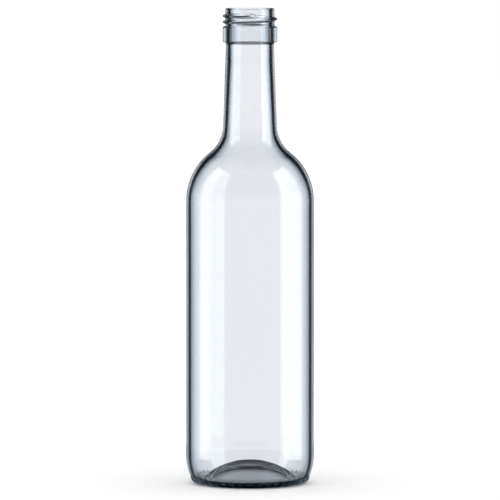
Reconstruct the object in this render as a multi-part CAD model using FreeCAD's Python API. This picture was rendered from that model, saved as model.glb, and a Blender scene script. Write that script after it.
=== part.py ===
"""A 500 ml Bordeaux wine bottle in clear glass, made with an external screw thread.

The bottle is one piece of glass. It stands on the flat ring round its punt, with the origin at the
centre of that ring, +Z up its axis and its front towards -Y. All sizes are in millimetres.
"""

import FreeCAD, Part
import math
import os

# Outside, from the table up.
HEIGHT = 255.3
BODY_DIAMETER = 68.3
SHOULDER_START = 152.1  # height at which the shoulder leaves the straight wall
SHOULDER_RADIUS = 32.7
NECK_ROOT_RADIUS = 18.65  # hollow curve from the shoulder into the neck
NECK_TOP_DIAMETER = 25.4  # just below the ring
NECK_TAPER = 2.15  # degrees each side

# The heel stands a little proud of the wall above it, which keeps a label from rubbing.
HEEL_SWELL = 0.19
HEEL_HEIGHT = 16.0
HEEL_RADIUS = 31.2
TOE_RADIUS = 5.0
PANEL_START = 22.0

# Base.
BEARING_WIDTH = 4.0  # the flat ring that the bottle stands on
BEARING_ROUND = 1.5
PUNT_DEPTH = 10.5
PUNT_FLAT = 3.0  # radius of the small flat at the middle, above and below
FLOOR_THICKNESS = 1.4  # of the glass at the middle of the punt
GUTTER_HEIGHT = 3.8  # of the flat gutter round the floor, above the table
GUTTER_INSET = 2.1  # from the inner edge of the bearing ring out to the gutter
GUTTER_ROUND = 2.0  # from the gutter into the dome of the floor
FLOOR_CORNER_RADIUS = 3.0

# Glass and bore.
BODY_WALL = 2.15
BORE_DIAMETER = 21.9
BORE_LENGTH = 28.0  # straight, before the bore widens down the neck
BORE_TAPER = 2.5  # degrees each side
INNER_ROOT_RADIUS = 20.2
CUT_OVERSHOOT = 1.0  # how far the shape cut out of the glass stands above the rim

# Finish, which is the part of the neck that takes the cap.
LAND_DIAMETER = 26.1
RIM_OUTER_ROUND = 0.9
RIM_INNER_ROUND = 0.6
RING_DIAMETER = 29.0
RING_DROP = 9.6  # from the rim to the top of the ring
RING_HEIGHT = 8.5
RING_TOP_ROUND = 1.1
RING_BOTTOM_ROUND = 0.4
RING_FOOT_ROUND = 1.3  # hollow, from the neck into the underside of the ring

# Thread, right-handed, one start.
THREAD_PITCH = 3.175
THREAD_HEIGHT = 1.45
THREAD_WIDTH = 2.6  # at the root
THREAD_CREST_WIDTH = 1.5
THREAD_CREST_RISE = 0.35
THREAD_DROP = 3.35  # from the rim to the middle of the ridge where it starts
THREAD_START = -78.5  # degrees round from +X
THREAD_SWEEP = 640.0
THREAD_FADE = 34.0  # degrees over which each end sinks into the glass
THREAD_BITE = 0.4  # depth of the ridge's root inside the glass
THREAD_SINK = 0.1  # depth of the crest inside the glass at both ends
STEPS_PER_TURN = 24

AXIS = FreeCAD.Vector(0, 0, 1)
CUBIC_MM_PER_ML = 1000


def at(radius, height):
    """The point of the outline's plane at a radius and a height."""
    return FreeCAD.Vector(radius, 0, height)


class Outline:
    """Half of a turned shape: lines and arcs in the plane of X and Z."""

    def __init__(self, start):
        self.first = self.last = start
        self.edges = []

    def line(self, end):
        """Add a straight edge."""
        self.edges.append(Part.LineSegment(self.last, end).toShape())
        self.last = end

    def arc(self, end, centre):
        """Add the short arc about a centre."""
        radius = (self.last - centre).Length
        middle = (self.last - centre) + (end - centre)
        middle.normalize()
        self.edges.append(Part.Arc(self.last, centre + middle * radius, end).toShape())
        self.last = end

    def turned(self):
        """Close the outline and turn it about the bottle's axis."""
        self.line(self.first)
        face = Part.Face(Part.Wire(self.edges))
        return face.revolve(FreeCAD.Vector(0, 0, 0), AXIS, 360)


def shoulder_centre():
    """Centre of the shoulder's arc, which the outside and the inside share."""
    return at(BODY_DIAMETER / 2 - SHOULDER_RADIUS, SHOULDER_START)


def neck_root(neck_point, taper, root_radius, shoulder_radius):
    """Fit the hollow arc that touches a tapering neck line and the shoulder's arc.

    Returns where it leaves the shoulder, where it meets the neck line, and its centre.
    """
    angle = math.radians(taper)
    outward = at(math.cos(angle), math.sin(angle))
    upward = at(-math.sin(angle), math.cos(angle))
    shoulder = shoulder_centre()
    reach = shoulder_radius + root_radius
    offset = neck_point + outward * root_radius - shoulder
    along = offset.dot(upward)
    slide = math.sqrt(along**2 - offset.Length**2 + reach**2) - along
    centre = shoulder + offset + upward * slide
    on_shoulder = shoulder + (centre - shoulder) * (shoulder_radius / reach)
    return on_shoulder, centre - outward * root_radius, centre


def heel_centres():
    """Centres of the heel's arc and of the tighter toe below it, which touch."""
    heel = at(BODY_DIAMETER / 2 + HEEL_SWELL - HEEL_RADIUS, HEEL_HEIGHT)
    toe_reach = HEEL_RADIUS - TOE_RADIUS
    toe_rise = HEEL_HEIGHT - TOE_RADIUS
    return heel, at(heel.x + math.sqrt(toe_reach**2 - toe_rise**2), TOE_RADIUS)


def bearing_inside():
    """Radius of the inner edge of the flat ring that the bottle stands on."""
    return heel_centres()[1].x - BEARING_WIDTH


def base_outline():
    """Outline from the middle of the punt to the straight wall, by the flat ring and the heel."""
    heel_centre, toe_centre = heel_centres()
    toe_end = toe_centre + (toe_centre - heel_centre).normalize() * TOE_RADIUS
    ring_inside = bearing_inside()

    dome_reach = ((ring_inside - PUNT_FLAT) ** 2 + PUNT_DEPTH**2) / (2 * PUNT_DEPTH)
    dome_centre = at(PUNT_FLAT, PUNT_DEPTH - (dome_reach - BEARING_ROUND))
    round_centre = at(ring_inside, BEARING_ROUND)
    share = (dome_reach - BEARING_ROUND) / dome_reach
    dome_end = dome_centre + (round_centre - dome_centre) * share

    outline = Outline(at(0, PUNT_DEPTH))
    outline.line(at(PUNT_FLAT, PUNT_DEPTH))
    outline.arc(dome_end, dome_centre)
    outline.arc(at(ring_inside, 0), round_centre)
    outline.line(at(toe_centre.x, 0))
    outline.arc(toe_end, toe_centre)
    outline.arc(at(BODY_DIAMETER / 2 + HEEL_SWELL, HEEL_HEIGHT), heel_centre)
    outline.line(at(BODY_DIAMETER / 2, PANEL_START))
    return outline


def outside():
    """The bottle's outer shape as if it were solid glass, without its thread."""
    ring_top = HEIGHT - RING_DROP
    ring_bottom = ring_top - RING_HEIGHT
    ring = RING_DIAMETER / 2
    land = LAND_DIAMETER / 2
    neck_top = at(NECK_TOP_DIAMETER / 2, ring_bottom - RING_FOOT_ROUND)
    on_shoulder, on_neck, root_centre = neck_root(
        neck_top, NECK_TAPER, NECK_ROOT_RADIUS, SHOULDER_RADIUS
    )

    outline = base_outline()
    outline.line(at(BODY_DIAMETER / 2, SHOULDER_START))
    outline.arc(on_shoulder, shoulder_centre())
    outline.arc(on_neck, root_centre)
    outline.line(neck_top)
    foot_centre = at(neck_top.x + RING_FOOT_ROUND, neck_top.z)
    outline.arc(at(foot_centre.x, ring_bottom), foot_centre)
    lower = at(ring - RING_BOTTOM_ROUND, ring_bottom + RING_BOTTOM_ROUND)
    upper = at(ring - RING_TOP_ROUND, ring_top - RING_TOP_ROUND)
    outline.line(at(lower.x, ring_bottom))
    outline.arc(at(ring, lower.z), lower)
    outline.line(at(ring, upper.z))
    outline.arc(at(upper.x, ring_top), upper)
    outline.line(at(land, ring_top))
    rim = at(land - RIM_OUTER_ROUND, HEIGHT - RIM_OUTER_ROUND)
    outline.line(at(land, rim.z))
    outline.arc(at(rim.x, HEIGHT), rim)
    outline.line(at(0, HEIGHT))
    return outline.turned()


def inside():
    """The space inside the glass, up to just past the rim."""
    bore = BORE_DIAMETER / 2
    wall = BODY_DIAMETER / 2 - BODY_WALL
    bore_end = at(bore, HEIGHT - BORE_LENGTH)
    on_shoulder, on_neck, root_centre = neck_root(
        bore_end, BORE_TAPER, INNER_ROOT_RADIUS, SHOULDER_RADIUS - BODY_WALL
    )

    floor = at(PUNT_FLAT, PUNT_DEPTH + FLOOR_THICKNESS)
    heel_centre = heel_centres()[0]
    heel_reach = wall - heel_centre.x
    corner_reach = heel_reach - FLOOR_CORNER_RADIUS
    corner_rise = HEEL_HEIGHT - GUTTER_HEIGHT - FLOOR_CORNER_RADIUS
    corner_radius = heel_centre.x + math.sqrt(corner_reach**2 - corner_rise**2)
    corner = at(corner_radius, GUTTER_HEIGHT + FLOOR_CORNER_RADIUS)
    corner_end = heel_centre + (corner - heel_centre) * (heel_reach / corner_reach)
    foot = at(bearing_inside() + GUTTER_INSET, GUTTER_HEIGHT + GUTTER_ROUND)
    span = foot - floor
    dome_radius = (span.Length**2 - GUTTER_ROUND**2) / (2 * (GUTTER_ROUND - span.z))
    dome_centre = floor - AXIS * dome_radius
    share = dome_radius / (dome_radius + GUTTER_ROUND)
    dome_end = dome_centre + (foot - dome_centre) * share

    outline = Outline(at(0, floor.z))
    outline.line(floor)
    outline.arc(dome_end, dome_centre)
    outline.arc(at(foot.x, GUTTER_HEIGHT), foot)
    outline.line(at(corner.x, GUTTER_HEIGHT))
    outline.arc(corner_end, corner)
    outline.arc(at(wall, HEEL_HEIGHT), heel_centre)
    outline.line(at(wall, SHOULDER_START))
    outline.arc(on_shoulder, shoulder_centre())
    outline.arc(on_neck, root_centre)
    outline.line(bore_end)
    rim = at(bore + RIM_INNER_ROUND, HEIGHT - RIM_INNER_ROUND)
    outline.line(at(bore, rim.z))
    outline.arc(at(rim.x, HEIGHT), rim)
    outline.line(at(rim.x, HEIGHT + CUT_OVERSHOOT))
    outline.line(at(0, HEIGHT + CUT_OVERSHOOT))
    return outline.turned()


def thread_section(radius, height):
    """Cross-section of the thread's ridge at +X, with its root at a radius."""
    half = THREAD_WIDTH / 2
    half_crest = THREAD_CREST_WIDTH / 2
    crest = radius + THREAD_BITE + THREAD_HEIGHT
    side = crest - THREAD_CREST_RISE
    low = [at(radius, height - half), at(radius + THREAD_BITE, height - half)]
    low.append(at(side, height - half_crest))
    high = [at(side, height + half_crest), at(radius + THREAD_BITE, height + half)]
    high.append(at(radius, height + half))
    edges = [Part.LineSegment(a, b).toShape() for a, b in zip(low, low[1:])]
    edges.append(Part.Arc(low[-1], at(crest, height), high[0]).toShape())
    edges += [Part.LineSegment(a, b).toShape() for a, b in zip(high, high[1:])]
    edges.append(Part.LineSegment(high[-1], low[0]).toShape())
    return Part.Wire(edges)


def thread():
    """The raised thread, which sinks into the glass at both of its ends."""
    root = LAND_DIAMETER / 2 - THREAD_BITE
    sink = THREAD_HEIGHT + THREAD_SINK
    top = HEIGHT - THREAD_DROP
    count = round(THREAD_SWEEP / 360 * STEPS_PER_TURN)
    points = []
    for step in range(count + 1):
        turned = THREAD_SWEEP * step / count
        faded = min(1.0, turned / THREAD_FADE, (THREAD_SWEEP - turned) / THREAD_FADE)
        radius = root - sink * (1 + math.cos(math.pi * faded)) / 2
        angle = math.radians(-turned)
        drop = THREAD_PITCH * turned / 360
        points.append(
            FreeCAD.Vector(radius * math.cos(angle), radius * math.sin(angle), top - drop)
        )
    path = Part.BSplineCurve()
    path.interpolate(points)
    sweep = Part.BRepOffsetAPI.MakePipeShell(Part.Wire(path.toShape()))
    sweep.setBiNormalMode(AXIS)
    sweep.add(thread_section(root - sink, top))
    sweep.build()
    sweep.makeSolid()
    ridge = sweep.shape()
    ridge.rotate(FreeCAD.Vector(0, 0, 0), AXIS, THREAD_START)
    return ridge


def bottle():
    """The whole bottle, one piece of glass."""
    return outside().fuse(thread()).cut(inside())


def main():
    """Write the bottle's STEP file."""
    os.makedirs("parts", exist_ok=True)
    shape = bottle()
    shape.exportStep("parts/bottle.step")
    print("solids", len(shape.Solids), "valid", shape.isValid())
    print("glass ml", round(shape.Volume / CUBIC_MM_PER_ML, 2))
    print("brimful ml", round(inside().Volume / CUBIC_MM_PER_ML, 1))


main()
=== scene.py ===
"""Studio scene of an empty 500 ml Bordeaux bottle in clear glass, with a screw thread at its mouth.

The bottle is one closed skin of glass, turned from the outline of its outside and its inside. The
thread, the mould seams, the bars under the heel and the slight unevenness of blown glass are in the
mesh. It stands in a white room, with a tall softbox on each side. Lengths are in metres.
"""

import logging
import math
from dataclasses import dataclass, field
from enum import Enum
from typing import Any

import bpy
import numpy as np
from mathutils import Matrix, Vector

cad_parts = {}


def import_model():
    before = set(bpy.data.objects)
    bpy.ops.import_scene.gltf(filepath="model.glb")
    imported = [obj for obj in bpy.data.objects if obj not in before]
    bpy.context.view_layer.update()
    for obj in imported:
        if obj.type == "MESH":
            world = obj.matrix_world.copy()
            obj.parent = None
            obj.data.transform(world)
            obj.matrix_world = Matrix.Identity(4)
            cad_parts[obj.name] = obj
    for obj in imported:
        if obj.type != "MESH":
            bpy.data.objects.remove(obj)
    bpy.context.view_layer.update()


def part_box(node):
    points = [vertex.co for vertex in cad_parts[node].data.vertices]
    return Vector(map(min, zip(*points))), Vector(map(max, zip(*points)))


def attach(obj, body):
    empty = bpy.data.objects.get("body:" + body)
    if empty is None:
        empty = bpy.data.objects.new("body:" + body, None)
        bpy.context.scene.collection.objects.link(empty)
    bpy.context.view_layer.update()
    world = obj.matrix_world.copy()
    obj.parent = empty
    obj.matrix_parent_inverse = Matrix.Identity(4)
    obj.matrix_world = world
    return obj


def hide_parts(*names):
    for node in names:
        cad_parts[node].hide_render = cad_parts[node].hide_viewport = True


LOG = logging.getLogger("bottle")
NODE = "bottle"
SLOT = "flint_glass"
BODY = "root"
GLASS_INDEX = 1.52  # how strongly soda-lime glass bends light
TINY = 0.001  # keeps a division from reaching nought
SHORTEST = 1e-12  # keeps a direction from being divided by no length
LEAST_SHARE = 0.05  # of the bore in the bottle where the glass is solid
WHITE = (1.0, 1.0, 1.0, 1.0)
BLACK = (0.0, 0.0, 0.0, 1.0)

Colour = tuple[float, float, float]
Point = tuple[float, float]


class Wire:
    """A socket's output, on which sums can be written."""

    def __init__(self, graph: "Graph", socket: bpy.types.NodeSocket) -> None:
        """Wrap a socket of a graph."""
        self.graph = graph
        self.socket = socket

    def __add__(self, other: "Value") -> "Wire":
        """Add."""
        return self.graph.maths("ADD", self, other)

    def __sub__(self, other: "Value") -> "Wire":
        """Take a value away."""
        return self.graph.maths("SUBTRACT", self, other)

    def __rsub__(self, other: "Value") -> "Wire":
        """Take this away from a value."""
        return self.graph.maths("SUBTRACT", other, self)

    def __mul__(self, other: "Value") -> "Wire":
        """Multiply."""
        return self.graph.maths("MULTIPLY", self, other)

    def __truediv__(self, other: "Value") -> "Wire":
        """Divide."""
        return self.graph.maths("DIVIDE", self, other)

    def __rtruediv__(self, other: "Value") -> "Wire":
        """Divide a value by this."""
        return self.graph.maths("DIVIDE", other, self)

    def __pow__(self, other: "Value") -> "Wire":
        """Raise this to a power."""
        return self.graph.maths("POWER", self, other)

    def __rpow__(self, other: "Value") -> "Wire":
        """Raise a value to this power."""
        return self.graph.maths("POWER", other, self)

    def __gt__(self, other: "Value") -> "Wire":
        """Give 1 where this is greater, else 0."""
        return self.graph.maths("GREATER_THAN", self, other)

    def __lt__(self, other: "Value") -> "Wire":
        """Give 1 where this is less, else 0."""
        return self.graph.maths("LESS_THAN", self, other)

    __radd__ = __add__
    __rmul__ = __mul__


Value = Wire | float


class Graph:
    """The nodes of one material or of the world."""

    def __init__(self, tree: bpy.types.NodeTree) -> None:
        """Start with no nodes."""
        self.tree = tree
        tree.nodes.clear()

    def add(self, kind: str, settings: dict[str, Any] | None = None, **sockets: Any) -> bpy.types.Node:
        """Make a node.

        Args:
            kind: The node's type, without its first word, ShaderNode.
            settings: Its settings by name, or a ramp's stops under "stops".
            **sockets: Values or wires by the socket's name, with _ for a space, or by s and its number.

        Returns:
            The node.
        """
        node = self.tree.nodes.new("ShaderNode" + kind)
        for name, value in (settings or {}).items():
            if name == "stops":
                self.set_stops(node.color_ramp, value)
            else:
                setattr(node, name, value)
        for name, value in sockets.items():
            key = int(name[1:]) if name[1:].isdigit() else name.replace("_", " ")
            if isinstance(value, Wire):
                self.tree.links.new(value.socket, node.inputs[key])
            else:
                node.inputs[key].default_value = value
        return node

    def set_stops(self, ramp: bpy.types.ColorRamp, stops: list[tuple[float, Colour]]) -> None:
        """Give a ramp its places and colours.

        Args:
            ramp: A ramp with no more stops than it is given.
            stops: The place and the colour of each stop, in order.
        """
        for _ in range(len(stops) - len(ramp.elements)):
            ramp.elements.new(0.5)
        for element, (place, colour) in zip(ramp.elements, stops):
            element.position = place
            element.color = (*colour, 1.0)

    def wire(self, node: bpy.types.Node, output: str | int = 0) -> Wire:
        """Wrap one of a node's outputs."""
        return Wire(self, node.outputs[output])

    def maths(self, operation: str, *terms: Value) -> Wire:
        """Add a Math node and wrap its result."""
        sockets = {f"s{index}": term for index, term in enumerate(terms)}
        return self.wire(self.add("Math", {"operation": operation}, **sockets))

    def least(self, first: Value, second: Value) -> Wire:
        """The smaller of two values."""
        return self.maths("MINIMUM", first, second)

    def most(self, first: Value, second: Value) -> Wire:
        """The greater of two values."""
        return self.maths("MAXIMUM", first, second)

    def arcsine(self, value: Value) -> Wire:
        """The angle with a sine."""
        return self.maths("ARCSINE", value)

    def mix(self, share: Value, first: Any, second: Any, blend: str = "MIX") -> Wire:
        """Mix two colours."""
        settings = {"data_type": "RGBA", "blend_type": blend}
        return self.wire(self.add("Mix", settings, s0=share, s6=first, s7=second), 2)

    def step(self, value: Value, low: float, high: float) -> Wire:
        """Rise smoothly from 0 at low to 1 at high."""
        settings = {"interpolation_type": "SMOOTHSTEP"}
        return self.wire(self.add("MapRange", settings, Value=value, From_Min=low, From_Max=high))

    def attribute(self, name: str) -> Wire:
        """A number kept on the mesh."""
        return self.wire(self.add("Attribute", {"attribute_name": name}), "Fac")

    def at_least(self, count: Wire, number: int) -> Wire:
        """Give 1 where a ray's count has reached a number, else 0."""
        return count > number - 0.5

    def under(self, count: Wire, number: int) -> Wire:
        """Give 1 where a ray's count is still under a number, else 0."""
        return count < number - 0.5


class Skin(Enum):
    """What a stretch of the glass carries on its surface."""

    PUNT = "punt"
    BARS = "bars"
    WALL = "wall"
    FINISH = "finish"
    INSIDE = "inside"


def smooth_step(low: float, high: float, value: np.ndarray) -> np.ndarray:
    """Rise smoothly from 0 at low to 1 at high."""
    share = np.clip((value - low) / (high - low), 0.0, 1.0)
    return share * share * (3.0 - 2.0 * share)


@dataclass(frozen=True)
class Station:
    """One point of the outline, which becomes one ring of the skin.

    Args:
        radius: Distance from the axis.
        height: Height above the table.
        skin: What the glass carries there.
    """

    radius: float
    height: float
    skin: Skin


@dataclass
class Outline:
    """Half of a turned shape, made of straight stretches and arcs.

    Args:
        chord: Longest step along an arc.
        turn: Widest angle of one step along an arc, in degrees.
        stretch: Longest step along a straight stretch.
        stations: The points so far, in order.
    """

    chord: float = 0.0011
    turn: float = 6.0
    stretch: float = 0.0045
    stations: list[Station] = field(default_factory=list)

    def point(self, radius: float, height: float, skin: Skin) -> None:
        """Add one point."""
        self.stations.append(Station(radius, height, skin))

    def line(self, end: Point, skin: Skin, step: float = 0.0) -> None:
        """Add a straight stretch.

        Args:
            end: Radius and height where it ends.
            skin: What the stretch carries.
            step: Longest step along it, or 0 for the usual one.
        """
        last = self.stations[-1]
        length = math.hypot(end[0] - last.radius, end[1] - last.height)
        count = max(1, math.ceil(length / (step or self.stretch)))
        for share in np.linspace(0.0, 1.0, count + 1)[1:]:
            radius = last.radius + (end[0] - last.radius) * share
            self.point(radius, last.height + (end[1] - last.height) * share, skin)

    def arc(self, end: Point, centre: Point, skin: Skin) -> None:
        """Add the short arc about a centre.

        Args:
            end: Radius and height where it ends.
            centre: Radius and height of its centre.
            skin: What the stretch carries.
        """
        last = self.stations[-1]
        reach = math.hypot(end[0] - centre[0], end[1] - centre[1])
        first = math.atan2(last.height - centre[1], last.radius - centre[0])
        sweep = math.atan2(end[1] - centre[1], end[0] - centre[0]) - first
        sweep = (sweep + math.pi) % (2 * math.pi) - math.pi
        by_turn = abs(math.degrees(sweep)) / self.turn
        count = max(2, math.ceil(max(by_turn, abs(sweep) * reach / self.chord)))
        for share in np.linspace(0.0, 1.0, count + 1)[1:]:
            angle = first + sweep * share
            self.point(centre[0] + reach * math.cos(angle), centre[1] + reach * math.sin(angle), skin)


class SkinMesh:
    """A closed skin made of rings, each joined to the one before it."""

    def __init__(self) -> None:
        """Start with no points."""
        self.blocks: list[np.ndarray] = []
        self.faces: list[tuple[int, ...]] = []
        self.marks: dict[str, list[float]] = {}
        self.total = 0
        self.last = range(0)

    def add(self, points: np.ndarray, marks: dict[str, Any]) -> range:
        """Store points with the numbers that the glass reads from them.

        Args:
            points: The points.
            marks: For each name, one number for all the points or one for each.

        Returns:
            The points' places in the mesh.
        """
        self.blocks.append(points)
        for name, value in marks.items():
            self.marks.setdefault(name, []).extend(np.broadcast_to(value, len(points)))
        places = range(self.total, self.total + len(points))
        self.total += len(points)
        return places

    def pole(self, height: float, marks: dict[str, Any]) -> None:
        """Start or end the skin at a point on the axis.

        Args:
            height: The point's height.
            marks: Its numbers, by name.
        """
        tip = self.add(np.array([[0.0, 0.0, height]]), marks)
        old = self.last
        self.faces += [(old[i - 1], old[i], tip[0]) for i in range(len(old))]
        self.last = tip

    def ring(self, points: np.ndarray, marks: dict[str, Any]) -> None:
        """Add a ring and join it to the last one.

        Args:
            points: As many points as the last ring has, half as many or twice as many.
            marks: For each name, one number for all the points or one for each.
        """
        new, old = self.add(points, marks), self.last
        if len(old) == 1:
            self.faces += [(old[0], new[i], new[i - 1]) for i in range(len(new))]
        elif len(old) == len(new):
            self.faces += [(old[i - 1], old[i], new[i], new[i - 1]) for i in range(len(new))]
        elif len(new) > len(old):
            self.spread(old, new, True)
        else:
            self.spread(new, old, False)
        self.last = new

    def spread(self, coarse: range, fine: range, onward: bool) -> None:
        """Join a ring to one with twice its points, by three triangles a step.

        Args:
            coarse: The ring with fewer points.
            fine: The ring with twice as many.
            onward: Whether the fine ring comes after the coarse one.
        """
        for i in range(len(coarse)):
            here, there = coarse[i - 1], coarse[i]
            before, middle, after = fine[2 * i - 2], fine[2 * i - 1], fine[2 * i]
            trio = [(here, middle, before), (here, there, middle), (there, after, middle)]
            self.faces += trio if onward else [face[::-1] for face in trio]

    def to_object(self, name: str) -> bpy.types.Object:
        """Make a smooth mesh object of the skin.

        Args:
            name: The object's name.

        Returns:
            The object, whose points hold the marks.
        """
        mesh = bpy.data.meshes.new(name)
        mesh.from_pydata(np.vstack(self.blocks).tolist(), [], self.faces)
        mesh.shade_smooth()
        for mark, numbers in self.marks.items():
            mesh.attributes.new(mark, "FLOAT", "POINT").data.foreach_set("value", numbers)
        made = bpy.data.objects.new(name, mesh)
        bpy.context.scene.collection.objects.link(made)
        return made


@dataclass(frozen=True)
class Thread:
    """The raised right-handed thread that a cap screws on to.

    Args:
        drop: From the rim down to the middle of the ridge where it starts.
        start: Where it starts, in degrees round from +X.
        sweep: How far it runs round the mouth, in degrees.
        pitch: Drop in one turn.
        rise: Height of the ridge.
        width: Width of the ridge at its root.
        fade: Angle over which each end rises out of the glass, in degrees.
        narrowing: Share of the width that goes as the ridge fades.
        crest: Share of the half width that the top of the ridge takes.
    """

    drop: float = 0.00335
    start: float = -78.5
    sweep: float = 640.0
    pitch: float = 0.003175
    rise: float = 0.00145
    width: float = 0.0026
    fade: float = 34.0
    narrowing: float = 0.4
    crest: float = 0.12

    def ridge(self, angles: np.ndarray, below_rim: float) -> np.ndarray:
        """How far the ridge stands out of the glass.

        Args:
            angles: Angles round the bottle, in radians.
            below_rim: Depth below the rim.

        Returns:
            The rise at each angle.
        """
        first = np.mod(self.start - np.degrees(angles), 360.0)
        ridge = np.zeros_like(first)
        for turn in range(math.ceil(self.sweep / 360.0)):
            run = first + 360.0 * turn
            shown = smooth_step(0.0, self.fade, np.minimum(run, self.sweep - run))
            half = self.width / 2 * (1.0 - self.narrowing * (1.0 - shown))
            off_middle = np.abs(below_rim - self.drop - self.pitch * run / 360.0)
            bead = 1.0 - smooth_step(self.crest, 1.0, off_middle / half)
            ridge = np.maximum(ridge, self.rise * shown * bead)
        return ridge


@dataclass(frozen=True)
class Bars:
    """The short raised bars under the heel, which keep the hot base off the belt.

    Args:
        count: How many stand round the base.
        rise: How far they stand out.
        height: Height of their middle above the table.
        reach: Half their length up the toe.
        clear: Height below which they run out, clear of the table.
        roundness: Power that squares off each bar, less than 1 for wider tops.
    """

    count: int = 44
    rise: float = 0.0005
    height: float = 0.0027
    reach: float = 0.0022
    clear: float = 0.0012
    roundness: float = 0.7

    def lift(self, angles: np.ndarray, height: float) -> np.ndarray:
        """How far the bars stand out of the toe.

        Args:
            angles: Angles round the bottle, in radians.
            height: Height above the table.

        Returns:
            The rise at each angle.
        """
        lobe = np.maximum(0.0, np.cos(angles * self.count)) ** self.roundness
        along = math.exp(-(((height - self.height) / self.reach) ** 2))
        return self.rise * lobe * along * smooth_step(0.0, self.clear, height)


@dataclass(frozen=True)
class Ripple:
    """A slow wave over the inside of the glass, in turns round it and in lengths along it.

    Args:
        depth: Most that it stands off.
        lobes: Waves in one turn round the bottle.
        start: Angle at which it starts, in radians.
        climb: Height in which it turns by one radian.
        beat: Height in which its depth changes by one radian, or 0 for an even depth.
        beat_start: Angle at which that change starts, in radians.
    """

    depth: float
    lobes: int
    start: float
    climb: float
    beat: float = 0.0
    beat_start: float = 0.0

    def stand(self, angles: np.ndarray, height: float) -> np.ndarray:
        """How far the wave stands off.

        Args:
            angles: Angles round the bottle, in radians.
            height: Height above the table.

        Returns:
            The distance at each angle.
        """
        wave = np.sin(self.lobes * angles + self.start + height / self.climb)
        if self.beat:
            wave = wave * np.sin(height / self.beat + self.beat_start)
        return self.depth * wave


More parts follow.
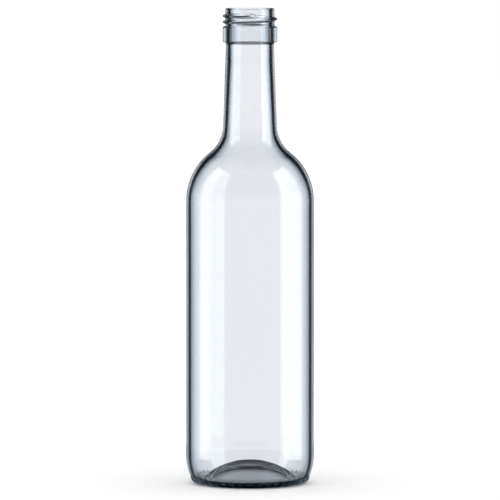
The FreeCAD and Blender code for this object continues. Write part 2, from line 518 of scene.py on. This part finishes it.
@dataclass
class Bottle:
    """The glass bottle, standing on the table with its axis on +Z.

    Args:
        height: Height of the rim.
        heel: Largest radius, at the heel.
        heel_swell: How far the heel stands out past the straight wall.
        heel_height: Height of the heel's largest radius.
        heel_radius: Radius of the heel's long arc.
        toe_radius: Radius of the tighter arc under it.
        panel_start: Height at which the straight wall starts.
        bearing_width: Width of the flat ring that the bottle stands on.
        bearing_round: Rounding from that ring into the punt.
        punt_depth: Depth of the hollow under the bottle.
        punt_flat: Radius of the level middle of the punt and of the floor.
        floor_thickness: Glass over the middle of the punt.
        gutter_height: Height of the low channel round the floor.
        gutter_inset: From the bearing ring's inner edge out to the channel.
        gutter_round: Rounding from the channel up to the floor's dome.
        floor_corner: Rounding from the channel up to the inside of the heel.
        shoulder_start: Height at which the shoulder starts.
        shoulder_radius: Radius of the shoulder's arc.
        root_radius: Radius of the hollow arc between the shoulder and the neck.
        neck_top: Radius of the neck under the ring.
        neck_taper: Lean of the neck, in degrees.
        wall: Thickness of the body's glass.
        bore: Radius of the straight part of the bore.
        bore_length: Depth of that part from the rim.
        bore_taper: Lean of the inside below it, in degrees.
        inner_root_radius: Radius of the hollow arc inside the neck's root.
        land: Radius of the glass that the thread stands on.
        rim_outer_round: Rounding at the outer edge of the rim.
        rim_inner_round: Rounding at its inner edge.
        ring: Radius of the ring under the thread.
        ring_drop: From the rim down to the top of the ring.
        ring_height: Height of the ring.
        ring_top_round: Rounding at its top, from the land to its side.
        ring_bottom_round: Rounding at its lower edge.
        ring_foot_round: Rounding from its underside into the neck.
        fine_step: Distance between the mesh's rings on the thread.
        band_step: Longest distance between them on the ring and the gutter.
        seam_rise: How far the mould seams stand out.
        seam_width: Half their width.
        crowding: How far the mesh's points are drawn to the seams, from 0 to 1.
        segments: Points in one ring of the mesh.
        thread: The thread.
        bars: The bars under the heel.
        ripples: The unevenness of the inside.
    """

    height: float
    heel: float
    heel_swell: float = 0.00019
    heel_height: float = 0.0160
    heel_radius: float = 0.0312
    toe_radius: float = 0.0050
    panel_start: float = 0.0220
    bearing_width: float = 0.0040
    bearing_round: float = 0.0015
    punt_depth: float = 0.0105
    punt_flat: float = 0.0030
    floor_thickness: float = 0.0014
    gutter_height: float = 0.0038
    gutter_inset: float = 0.0021
    gutter_round: float = 0.0020
    floor_corner: float = 0.0030
    shoulder_start: float = 0.1521
    shoulder_radius: float = 0.0327
    root_radius: float = 0.01865
    neck_top: float = 0.0127
    neck_taper: float = 2.15
    wall: float = 0.00215
    bore: float = 0.01095
    bore_length: float = 0.0280
    bore_taper: float = 2.5
    inner_root_radius: float = 0.0202
    land: float = 0.01305
    rim_outer_round: float = 0.0009
    rim_inner_round: float = 0.0006
    ring: float = 0.0145
    ring_drop: float = 0.0096
    ring_height: float = 0.0085
    ring_top_round: float = 0.0011
    ring_bottom_round: float = 0.0004
    ring_foot_round: float = 0.0013
    fine_step: float = 0.000125
    band_step: float = 0.0015
    seam_rise: float = 0.00006
    seam_width: float = 0.0003
    crowding: float = 0.75
    segments: int = 192
    thread: Thread = Thread()
    bars: Bars = Bars()
    ripples: tuple[Ripple, ...] = (
        Ripple(depth=0.000045, lobes=2, start=0.8, climb=0.047),
        Ripple(depth=0.000016, lobes=5, start=-1.9, climb=0.019, beat=0.011, beat_start=0.4),
    )

    @property
    def body(self) -> float:
        """Radius of the straight wall."""
        return self.heel - self.heel_swell

    @property
    def shoulder_centre(self) -> Point:
        """Centre of the shoulder's arc, outside and inside."""
        return self.body - self.shoulder_radius, self.shoulder_start

    @property
    def ring_top(self) -> float:
        """Height of the top of the ring under the thread."""
        return self.height - self.ring_drop

    @property
    def heel_centre(self) -> Point:
        """Centre of the heel's arc."""
        return self.heel - self.heel_radius, self.heel_height

    @property
    def toe(self) -> Point:
        """Centre of the tighter arc between the heel and the bearing ring.

        Returns:
            The point from which that arc touches both the table and the heel's arc.
        """
        reach = self.heel_radius - self.toe_radius
        rise = self.heel_height - self.toe_radius
        return self.heel_centre[0] + math.sqrt(reach**2 - rise**2), self.toe_radius

    def between(self, start: Point, end: Point, share: float) -> Point:
        """The point at a share of the way from one to another."""
        return start[0] + (end[0] - start[0]) * share, start[1] + (end[1] - start[1]) * share

    def neck_root(self, neck: Point, taper: float, root: float, shoulder: float) -> list[Point]:
        """Fit the hollow arc that touches a tapering neck line and the shoulder's arc.

        Args:
            neck: A point of the neck line.
            taper: Lean of the line, in degrees.
            root: Radius of the hollow arc.
            shoulder: Radius of the shoulder's arc.

        Returns:
            Where the arc leaves the shoulder, where it meets the neck line, and its centre.
        """
        angle = math.radians(taper)
        outward = np.array([math.cos(angle), math.sin(angle)])
        upward = np.array([-math.sin(angle), math.cos(angle)])
        middle = np.array(self.shoulder_centre)
        reach = shoulder + root
        offset = np.array(neck) + outward * root - middle
        along = float(offset @ upward)
        slide = math.sqrt(along**2 - float(offset @ offset) + reach**2) - along
        centre = middle + offset + upward * slide
        on_shoulder = middle + (centre - middle) * (shoulder / reach)
        return [tuple(on_shoulder), tuple(centre - outward * root), tuple(centre)]

    def draw_base(self, outline: Outline) -> None:
        """Draw from the middle of the punt to the straight wall.

        Args:
            outline: The outline so far.
        """
        toe, heel_centre = self.toe, self.heel_centre
        toe_reach = self.heel_radius - self.toe_radius
        edge = (toe[0] - self.bearing_width, self.bearing_round)
        run = edge[0] - self.punt_flat
        dome_reach = (run**2 + self.punt_depth**2) / (2 * self.punt_depth)
        dome = (self.punt_flat, self.punt_depth - dome_reach + self.bearing_round)
        dome_end = self.between(dome, edge, 1.0 - self.bearing_round / dome_reach)

        outline.point(self.punt_flat, self.punt_depth, Skin.PUNT)
        outline.arc(dome_end, dome, Skin.PUNT)
        outline.arc((edge[0], 0.0), edge, Skin.PUNT)
        outline.line((toe[0], 0.0), Skin.PUNT, self.bearing_width / 3)
        outline.arc(self.between(heel_centre, toe, self.heel_radius / toe_reach), toe, Skin.BARS)
        outline.arc((self.heel, self.heel_height), heel_centre, Skin.WALL)
        outline.line((self.body, self.panel_start), Skin.WALL)

    def draw_neck(self, outline: Outline) -> None:
        """Draw from the straight wall up to the underside of the ring.

        Args:
            outline: The outline so far.
        """
        ring_bottom = self.ring_top - self.ring_height
        foot = (self.neck_top + self.ring_foot_round, ring_bottom - self.ring_foot_round)
        neck = (self.neck_top, foot[1])
        leave, meet, centre = self.neck_root(
            neck, self.neck_taper, self.root_radius, self.shoulder_radius
        )
        outline.line((self.body, self.shoulder_start), Skin.WALL)
        outline.arc(leave, self.shoulder_centre, Skin.WALL)
        outline.arc(meet, centre, Skin.WALL)
        outline.line(neck, Skin.WALL)
        outline.arc((foot[0], ring_bottom), foot, Skin.WALL)

    def draw_finish(self, outline: Outline) -> None:
        """Draw the ring, the land that the thread stands on, and the rim.

        Args:
            outline: The outline so far.
        """
        ring_bottom = self.ring_top - self.ring_height
        low = (self.ring - self.ring_bottom_round, ring_bottom + self.ring_bottom_round)
        band_top = self.ring_top - self.ring_top_round
        rim = (self.land - self.rim_outer_round, self.height - self.rim_outer_round)
        outline.line((low[0], ring_bottom), Skin.WALL)
        outline.arc((self.ring, low[1]), low, Skin.WALL)
        outline.line((self.ring, band_top), Skin.WALL, self.band_step)
        count = math.ceil((rim[1] - band_top) / self.fine_step)
        for height in np.linspace(band_top, rim[1], count + 1)[1:]:
            share = min(1.0, (height - band_top) / self.ring_top_round)
            radius = self.land + (self.ring - self.land) * math.sqrt(1.0 - share**2)
            outline.point(radius, height, Skin.FINISH)
        outline.arc((rim[0], self.height), rim, Skin.WALL)

    def draw_bore(self, outline: Outline) -> None:
        """Draw from the rim down the neck and the body to the corner of the floor.

        Args:
            outline: The outline so far.
        """
        rim = (self.bore + self.rim_inner_round, self.height - self.rim_inner_round)
        bore_end = (self.bore, self.height - self.bore_length)
        leave, meet, centre = self.neck_root(
            bore_end, self.bore_taper, self.inner_root_radius, self.shoulder_radius - self.wall
        )
        inside = self.body - self.wall
        outline.line((rim[0], self.height), Skin.WALL)
        outline.arc((self.bore, rim[1]), rim, Skin.INSIDE)
        outline.line(bore_end, Skin.INSIDE)
        outline.line(meet, Skin.INSIDE)
        outline.arc(leave, centre, Skin.INSIDE)
        outline.arc((inside, self.shoulder_start), self.shoulder_centre, Skin.INSIDE)
        outline.line((inside, self.heel_height), Skin.INSIDE)

    def draw_floor(self, outline: Outline) -> None:
        """Draw the inside of the heel, the gutter round the floor and the dome over the punt.

        Args:
            outline: The outline so far.
        """
        heel_centre = self.heel_centre
        heel_reach = self.body - self.wall - heel_centre[0]
        corner_reach = heel_reach - self.floor_corner
        corner_rise = self.heel_height - self.gutter_height - self.floor_corner
        corner_radius = heel_centre[0] + math.sqrt(corner_reach**2 - corner_rise**2)
        corner = (corner_radius, self.gutter_height + self.floor_corner)
        corner_start = self.between(heel_centre, corner, heel_reach / corner_reach)
        floor = (self.punt_flat, self.punt_depth + self.floor_thickness)
        gutter_start = self.toe[0] - self.bearing_width + self.gutter_inset
        foot = (gutter_start, self.gutter_height + self.gutter_round)
        out, up = foot[0] - floor[0], foot[1] - floor[1]
        dome_reach = (out**2 + up**2 - self.gutter_round**2) / (2 * (self.gutter_round - up))
        dome = (floor[0], floor[1] - dome_reach)
        dome_end = self.between(dome, foot, dome_reach / (dome_reach + self.gutter_round))
        outline.arc(corner_start, heel_centre, Skin.INSIDE)
        outline.arc((corner[0], self.gutter_height), corner, Skin.INSIDE)
        outline.line((foot[0], self.gutter_height), Skin.INSIDE, self.band_step)
        outline.arc(dome_end, foot, Skin.INSIDE)
        outline.arc(floor, dome, Skin.INSIDE)

    def stations(self) -> list[Station]:
        """Draw the whole outline.

        Returns:
            Its points, from the middle of the punt round to the middle of the floor.
        """
        outline = Outline()
        self.draw_base(outline)
        self.draw_neck(outline)
        self.draw_finish(outline)
        self.draw_bore(outline)
        self.draw_floor(outline)
        return outline.stations

    def angles(self, count: int) -> np.ndarray:
        """Angles round the bottle, closer together at the two mould seams on the X axis."""
        even = np.arange(count) * (2 * math.pi / count)
        return even - self.crowding / 2 * np.sin(2 * even)

    def unevenness(self, angles: np.ndarray, height: float) -> np.ndarray:
        """How far the inside stands off its true place, as in blown glass."""
        return sum(ripple.stand(angles, height) for ripple in self.ripples)

    def ring_points(self, station: Station, lean: np.ndarray) -> np.ndarray:
        """Place the points of one ring of the skin.

        Args:
            station: The outline's point.
            lean: The outline's direction out of the glass there.

        Returns:
            The points, in order round the bottle.
        """
        angles = self.angles(self.segments * (2 if station.skin is Skin.BARS else 1))
        out = np.zeros_like(angles)
        radius = np.full_like(angles, station.radius)
        if station.skin is Skin.FINISH:
            ridge = self.thread.ridge(angles, self.height - station.height)
            radius = np.maximum(radius, self.land + ridge)
        elif station.skin is Skin.INSIDE:
            out = -self.unevenness(angles, station.height) * min(1.0, station.radius / self.land)
        elif station.skin is Skin.BARS:
            out = self.bars.lift(angles, station.height)
        if station.skin in (Skin.WALL, Skin.FINISH):
            off_seam = station.radius * np.sin(angles) / self.seam_width
            out = self.seam_rise * np.exp(-(off_seam**2))
        radius = radius + out * lean[0]
        height = station.height + out * lean[1]
        return np.column_stack([radius * np.cos(angles), radius * np.sin(angles), height])

    def build(self) -> bpy.types.Object:
        """Make the bottle's closed mesh.

        Returns:
            The object, whose points hold bore_share, the inner radius over the outer one at that
            height, and outer_skin, which is 1 on the outside.
        """
        stations = self.stations()
        places = np.array([[station.radius, station.height] for station in stations])
        along = np.gradient(places, axis=0)
        along /= np.maximum(np.linalg.norm(along, axis=1, keepdims=True), SHORTEST)
        leans = np.column_stack([along[:, 1], -along[:, 0]])
        first = next(i for i, station in enumerate(stations) if station.skin is Skin.INSIDE)
        lowest = first + int(np.argmin(places[first:, 1]))
        bore = places[first : lowest + 1][::-1]

        skin = SkinMesh()
        skin.pole(self.punt_depth, {"bore_share": LEAST_SHARE, "outer_skin": 1.0})
        for index, (station, lean) in enumerate(zip(stations, leans)):
            points = self.ring_points(station, lean)
            inner = np.interp(station.height, bore[:, 1], bore[:, 0], left=0.0)
            share = np.clip(inner / np.hypot(points[:, 0], points[:, 1]), LEAST_SHARE, 1.0)
            skin.ring(points, {"bore_share": share, "outer_skin": float(index < first)})
        skin.pole(stations[-1].height, {"bore_share": 1.0, "outer_skin": 0.0})
        return skin.to_object("clear_bottle")

    def dress(self, piece: bpy.types.Object) -> None:
        """Give the bottle its glass and its place in the frame.

        Args:
            piece: The bottle's object.
        """
        piece.data.materials.append(Glass().material())
        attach(piece, BODY)
        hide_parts(NODE)


@dataclass(frozen=True)
class Glass:
    """Flint glass: clear, with a faint blue-grey cast, and with painted shade in its colour where its
    wall turns the view.

    Args:
        tint: What one wall lets through.
        turned: Painted shade: how dark one crossing paints the glass's colour, by the degrees that the
            wall turns the view.
        outline_start: Where the painted shade starts to give way to white towards the solid edge of the
            glass, as a share of it.
        outline_end: Where the painted shade is gone.
        flat: Level part of a normal under which a surface shows none of the painted shade.
        steep: Level part over which it shows it all.
        body_colour: What is left of white light deep in the glass.
        body_density: How fast it gets there, per metre.
    """

    tint: Colour = (0.968, 0.964, 0.968)
    turned: tuple[tuple[float, Colour], ...] = (
        (0.0, (1.0, 1.0, 1.0)),
        (3.0, (0.99, 0.99, 0.99)),
        (8.0, (0.86, 0.88, 0.90)),
        (10.5, (0.70, 0.74, 0.78)),
        (12.7, (0.56, 0.60, 0.64)),
        (15.5, (0.42, 0.46, 0.50)),
        (22.0, (0.19, 0.22, 0.25)),
        (25.0, (0.05, 0.06, 0.075)),
        (30.0, (0.02, 0.028, 0.036)),
        (60.0, (0.01, 0.015, 0.02)),
    )
    outline_start: float = 0.25
    outline_end: float = 0.95
    flat: float = 0.1
    steep: float = 0.4
    body_colour: Colour = (0.25, 0.6, 0.86)
    body_density: float = 28.0

    def sideways(self, graph: Graph) -> tuple[Wire, Wire]:
        """How far off the bottle's middle a point is seen, from 0 to 1 at its outline.

        The facing towards the surface and towards +Z give the angle in plan between them. Surfaces
        that lie flat have none, and count as seen at the middle.

        Args:
            graph: The material's nodes.

        Returns:
            How far off the middle, and the level part of the surface's normal.
        """
        upwards = graph.wire(graph.add("CombineXYZ", Z=1.0))
        facing = 1.0 - graph.wire(graph.add("LayerWeight", Blend=0.5), "Facing")
        from_above = 1.0 - graph.wire(graph.add("LayerWeight", Blend=0.5, Normal=upwards), "Facing")
        normal = graph.wire(graph.add("NewGeometry"), "Normal")
        rise = graph.wire(graph.add("SeparateXYZ", Vector=normal), "Z")
        level = graph.most(1.0 - rise**2.0, 0.0) ** 0.5
        level_view = graph.most(1.0 - from_above**2.0, 0.0) ** 0.5
        cosine = (facing - rise * from_above) / (level * level_view + TINY)
        cosine = graph.most(graph.least(cosine, 1.0), 0.0)
        return (1.0 - cosine**2.0) ** 0.5 * graph.step(level, self.flat, self.steep), level

    def turn(self, graph: Graph, sine: Wire, share: Wire) -> Wire:
        """How far a round wall turns the view that passes through it.

        Args:
            graph: The material's nodes.
            sine: How far off the middle the view enters.
            share: The inner radius over the outer one.

        Returns:
            The angle in radians.
        """
        at_bore = sine / share
        outside = graph.arcsine(sine) - graph.arcsine(sine / GLASS_INDEX)
        in_air = graph.arcsine(graph.least(at_bore, 1.0))
        in_glass = graph.arcsine(graph.least(at_bore / GLASS_INDEX, 1.0))
        return graph.maths("ABSOLUTE", (outside + in_glass - in_air) * 2.0)

    def material(self) -> bpy.types.Material:
        """Make the glass.

        Returns:
            The material, for a mesh whose points hold bore_share and outer_skin.
        """
        material = bpy.data.materials.new(SLOT)
        material.use_nodes = True
        graph = Graph(material.node_tree)
        (sine, level), share = self.sideways(graph), graph.attribute("bore_share")
        widest = self.turned[-1][0]
        # The painted shade is in the surface's colour, which counts once each way, so each stop is
        # squared for its one crossing.
        stops = [(turn / widest, tuple(part**2 for part in kept)) for turn, kept in self.turned]
        # A sloping surface is seen as a rounder one, with its wall thinner to match.
        slope = level**2.0
        rounder, thinner = 1.0 - (1.0 - sine) * slope, 1.0 - (1.0 - share) * slope
        turned = self.turn(graph, rounder, thinner) / math.radians(widest)
        # Painted shade: the glass's colour darkens with the turn. It stands in for the dark room seen
        # through the edges of the wall.
        kept = graph.wire(graph.add("ValToRGB", {"stops": stops}, Fac=turned))
        # The painted shade fades to white over the solid edge of the glass.
        solid_edge = (sine - share) / (1.0 + TINY - share)
        lit = graph.step(solid_edge, self.outline_start, self.outline_end) ** 2.0
        backfacing = graph.wire(graph.add("NewGeometry"), "Backfacing")
        entered = (1.0 - backfacing) * graph.attribute("outer_skin")
        # The painted shade goes only on the outside of the glass, where the view enters. The tint is
        # the glass's own colour.
        shade = graph.mix(entered, WHITE, graph.mix(lit, kept, WHITE))
        colour = graph.mix(1.0, shade, (*self.tint, 1.0), "MULTIPLY")
        shader = graph.add(
            "BsdfPrincipled",
            Base_Color=colour,
            Roughness=0.0,
            IOR=GLASS_INDEX,
            Transmission_Weight=1.0,
        )
        body = (*self.body_colour, 1.0)
        volume = graph.add("VolumeAbsorption", Color=body, Density=self.body_density)
        graph.add("OutputMaterial", Surface=graph.wire(shader), Volume=graph.wire(volume))
        return material


@dataclass(frozen=True)
class Softbox:
    """A tall lamp beside the bottle, seen only as a shine.

    Args:
        name: What it is called.
        side: 1 on the +X side, -1 on the other.
        front: Where it starts, on the Y axis.
        back: Where it ends.
        height: Its height from the table.
        distance: From the bottle's axis.
        radiance: How bright it looks.
    """

    name: str
    side: float
    front: float
    back: float
    height: float = 0.29
    distance: float = 0.12
    radiance: float = 2.2

    def place(self) -> None:
        """Make the lamp."""
        width = self.back - self.front
        data = bpy.data.lights.new(self.name, "AREA")
        data.shape = "RECTANGLE"
        data.size = width
        data.size_y = self.height
        data.energy = self.radiance * math.pi * width * self.height
        data.use_nodes = True
        graph = Graph(data.node_tree)
        shone = graph.at_least(graph.wire(graph.add("LightPath"), "Glossy Depth"), 1)
        emission = graph.add("Emission", Strength=shone)
        graph.add("OutputLight", Surface=graph.wire(emission))
        made = bpy.data.objects.new(self.name, data)
        made.location = (self.side * self.distance, (self.front + self.back) / 2, self.height / 2)
        made.rotation_euler = Vector((-self.side, 0.0, 0.0)).to_track_quat("-Z", "Y").to_euler()
        made.visible_camera = False
        made.visible_diffuse = False
        bpy.context.scene.collection.objects.link(made)


@dataclass(frozen=True)
class Studio:
    """The white room, its floor, its lamps and the camera.

    Args:
        distance: From the camera back to the bottle's axis.
        eye_height: Height of the camera.
        pitch: How far it looks down, in radians.
        lens: Its focal length, in millimetres.
        sight: How far it sees.
        floor_half: Half the floor's side.
        floor_grey: The floor's colour.
        floor_glow: How much it glows to look white in a view.
        floor_roughness: The floor's roughness.
        mirror: What the outer surface of the glass mirrors.
        caught: What is seen by way of the inside of the glass and out again.
        ceiling: What the glass shows from above.
        ceiling_start: Rise of the view at which the ceiling starts.
        ceiling_full: Rise at which it is full.
        lamps: The softboxes.
    """

    distance: float = 2.8
    eye_height: float = 0.31644
    pitch: float = 0.068051
    lens: float = 376.6
    sight: float = 30.0
    floor_half: float = 6.0
    floor_grey: float = 0.95
    floor_glow: float = 0.12
    floor_roughness: float = 0.9
    mirror: Colour = (0.07, 0.08, 0.10)
    caught: Colour = (0.02, 0.028, 0.04)
    ceiling: Colour = (0.02, 0.028, 0.04)
    ceiling_start: float = 0.05
    ceiling_full: float = 0.25
    lamps: tuple[Softbox, ...] = (
        Softbox("softbox_left", side=-1.0, front=-0.045, back=0.0045),
        Softbox("softbox_right", side=1.0, front=-0.077, back=0.0135),
    )

    def camera(self) -> None:
        """Place the camera."""
        data = bpy.data.cameras.new("camera")
        data.lens = self.lens
        data.clip_end = self.sight
        made = bpy.data.objects.new("camera", data)
        made.location = (0.0, -self.distance, self.eye_height)
        made.rotation_euler = (math.pi / 2 - self.pitch, 0.0, 0.0)
        bpy.context.scene.collection.objects.link(made)
        bpy.context.scene.camera = made

    def room(self) -> None:
        """Surround the bottle with white, and with darkness where only its glass shows it."""
        world = bpy.data.worlds.new("studio")
        bpy.context.scene.world = world
        world.use_nodes = True
        graph = Graph(world.node_tree)
        path = graph.add("LightPath")
        mirrored = graph.at_least(graph.wire(path, "Glossy Depth"), 1)
        crossings = graph.wire(path, "Transmission Depth")
        straight = graph.under(graph.wire(path, "Diffuse Depth"), 1)
        outer_mirror = mirrored * graph.under(crossings, 1)
        inner_mirror = mirrored * graph.at_least(crossings, 3) * straight
        direction = graph.wire(graph.add("TexCoord"), "Generated")
        rise = graph.wire(graph.add("SeparateXYZ", Vector=direction), "Z")
        above = graph.step(rise, self.ceiling_start, self.ceiling_full)
        through = graph.at_least(crossings, 1) * straight
        colour = graph.mix(inner_mirror, WHITE, (*self.caught, 1.0))
        colour = graph.mix(outer_mirror, colour, (*self.mirror, 1.0))
        colour = graph.mix(through * above, colour, (*self.ceiling, 1.0))
        background = graph.add("Background", Color=colour)
        graph.add("OutputWorld", Surface=graph.wire(background))

    def floor(self) -> None:
        """Lay the floor, which looks white but for the shadow on it."""
        half = self.floor_half
        corners = [(-half, -half, 0.0), (half, -half, 0.0), (half, half, 0.0), (-half, half, 0.0)]
        mesh = bpy.data.meshes.new("floor")
        mesh.from_pydata(corners, [], [(0, 1, 2, 3)])
        material = bpy.data.materials.new("floor")
        material.use_nodes = True
        graph = Graph(material.node_tree)
        path = graph.add("LightPath")
        camera_ray = graph.wire(path, "Is Camera Ray")
        seen = graph.most(camera_ray, graph.wire(path, "Is Transmission Ray"))
        shader = graph.add(
            "BsdfPrincipled",
            Base_Color=(self.floor_grey, self.floor_grey, self.floor_grey, 1.0),
            Roughness=self.floor_roughness,
            Specular_IOR_Level=0.0,
            Emission_Color=graph.mix(seen, BLACK, WHITE),
            Emission_Strength=self.floor_glow,
        )
        graph.add("OutputMaterial", Surface=graph.wire(shader))
        mesh.materials.append(material)
        made = bpy.data.objects.new("floor", mesh)
        bpy.context.scene.collection.objects.link(made)

    def build(self) -> None:
        """Set up the camera, the room, the floor and the lamps."""
        self.camera()
        self.room()
        self.floor()
        for lamp in self.lamps:
            lamp.place()
            LOG.info("%s: radiance %.1f", lamp.name, lamp.radiance)
        bpy.context.scene.view_settings.view_transform = "Standard"


def main() -> None:
    """Build the studio and the bottle, and log the bottle's face count."""
    logging.basicConfig(level=logging.INFO)
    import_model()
    Studio().build()
    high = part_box(NODE)[1]
    bottle = Bottle(height=high[2], heel=high[0])
    piece = bottle.build()
    bottle.dress(piece)
    LOG.info("%s: %d faces", piece.name, len(piece.data.polygons))


if __name__ == "__main__":
    main()
